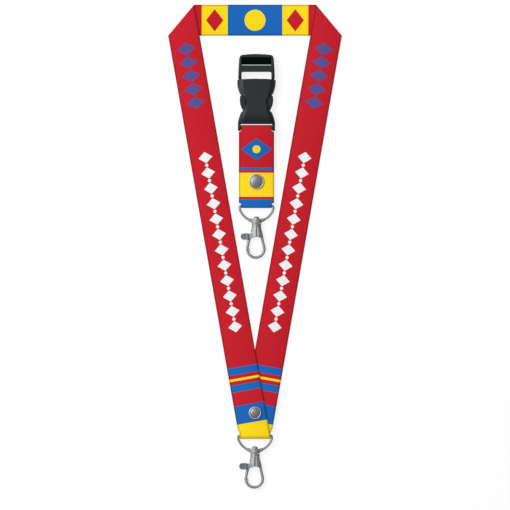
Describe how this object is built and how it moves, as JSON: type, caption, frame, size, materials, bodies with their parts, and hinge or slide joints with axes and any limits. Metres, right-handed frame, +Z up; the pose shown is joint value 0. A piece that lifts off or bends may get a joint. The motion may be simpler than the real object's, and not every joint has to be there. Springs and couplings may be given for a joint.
{
  "type": "lanyard",
  "caption": "Neck lanyard of printed webbing laid flat, its riveted end holding a ring and swivel snap hook, with a loose quick-release buckle tail that carries a second snap hook.",
  "frame": {"origin": "centre of the footprint, on the table the lanyard lies on", "axes": "+Y along the loop from the hook towards the neck band, +X across the loop to the right seen from above, +Z up from the table"},
  "size_m": [0.1414, 0.3903, 0.009],
  "materials": {
    "webbing": "printed woven polyester",
    "tail_webbing": "printed woven polyester",
    "rivet": "polished nickel",
    "steel": "plated wire",
    "hook": "satin nickel on die-cast zinc",
    "gate": "dark nickel",
    "buckle": "fine moulded texture"
  },
  "bodies": {
    "neck_loop": {"neck_strap": "webbing", "neck_rivet_cap": "rivet", "neck_rivet_stem": "steel", "neck_rivet_back": "rivet"},
    "neck_eye": {"neck_ring": "steel"},
    "neck_hook": {"neck_swivel_pin": "rivet", "neck_hook_body": "hook", "neck_gate_pin": "steel", "neck_gate_spring": "steel"},
    "neck_hook_gate": {"neck_gate": "gate"},
    "tail": {"tail_strap": "tail_webbing", "tail_rivet_cap": "rivet", "tail_rivet_stem": "steel", "tail_rivet_back": "rivet"},
    "tail_eye": {"tail_ring": "steel"},
    "tail_hook": {"tail_swivel_pin": "rivet", "tail_hook_body": "hook", "tail_gate_pin": "steel", "tail_gate_spring": "steel"},
    "tail_hook_gate": {"tail_gate": "gate"},
    "socket": {"buckle_socket": "buckle"},
    "plug": {"buckle_plug": "buckle"},
    "left_arm": {"buckle_left_arm": "buckle"},
    "right_arm": {"buckle_right_arm": "buckle"}
  },
  "joints": [
    {"name": "neck_ring_swing", "type": "hinge", "parent": "neck_loop", "child": "neck_eye", "pos_m": [0, -0.15235, 0.0028], "axis": [1, 0, 0], "range_deg": [-110, 110]},
    {"name": "neck_hook_swivel", "type": "hinge", "parent": "neck_eye", "child": "neck_hook", "pos_m": [0, -0.16485, 0.0028], "axis": [0, 1, 0], "continuous": true},
    {"name": "neck_gate_open", "type": "hinge", "parent": "neck_hook", "child": "neck_hook_gate", "pos_m": [-0.0036, -0.17595, 0.0028], "axis": [0, 0, 1], "range_deg": [0, 25], "stiffness_Nm_per_rad": 0.02, "springref_deg": -14.32, "deforming": ["neck_gate_spring"]},
    {"name": "tail_lift", "type": "slide", "parent": "neck_loop", "child": "tail", "axis": [0, 0, 1], "range_m": [0, 0.06]},
    {"name": "tail_ring_swing", "type": "hinge", "parent": "tail", "child": "tail_eye", "pos_m": [0.0012, 0.03295, 0.0028], "axis": [1, 0, 0], "range_deg": [-110, 110]},
    {"name": "tail_hook_swivel", "type": "hinge", "parent": "tail_eye", "child": "tail_hook", "pos_m": [0.0012, 0.02045, 0.0028], "axis": [0, 1, 0], "continuous": true},
    {"name": "tail_gate_open", "type": "hinge", "parent": "tail_hook", "child": "tail_hook_gate", "pos_m": [-0.0024, 0.00935, 0.0028], "axis": [0, 0, 1], "range_deg": [0, 25], "stiffness_Nm_per_rad": 0.02, "springref_deg": -14.32, "deforming": ["tail_gate_spring"]},
    {"name": "buckle_swing", "type": "hinge", "parent": "tail", "child": "socket", "pos_m": [0.0012, 0.09595, 0.0045], "axis": [1, 0, 0], "range_deg": [-60, 60]},
    {"name": "plug_release", "type": "slide", "parent": "socket", "child": "plug", "axis": [0, 1, 0], "range_m": [0, 0.03], "deforming": ["buckle_left_arm", "buckle_right_arm"]},
    {"name": "left_arm_press", "type": "hinge", "parent": "plug", "child": "left_arm", "pos_m": [-0.009, 0.13215, 0.0045], "axis": [0, 0, 1], "range_deg": [0, 7], "stiffness_Nm_per_rad": 0.5},
    {"name": "right_arm_press", "type": "hinge", "parent": "plug", "child": "right_arm", "pos_m": [0.0114, 0.13215, 0.0045], "axis": [0, 0, -1], "range_deg": [0, 7], "stiffness_Nm_per_rad": 0.5}
  ]
}
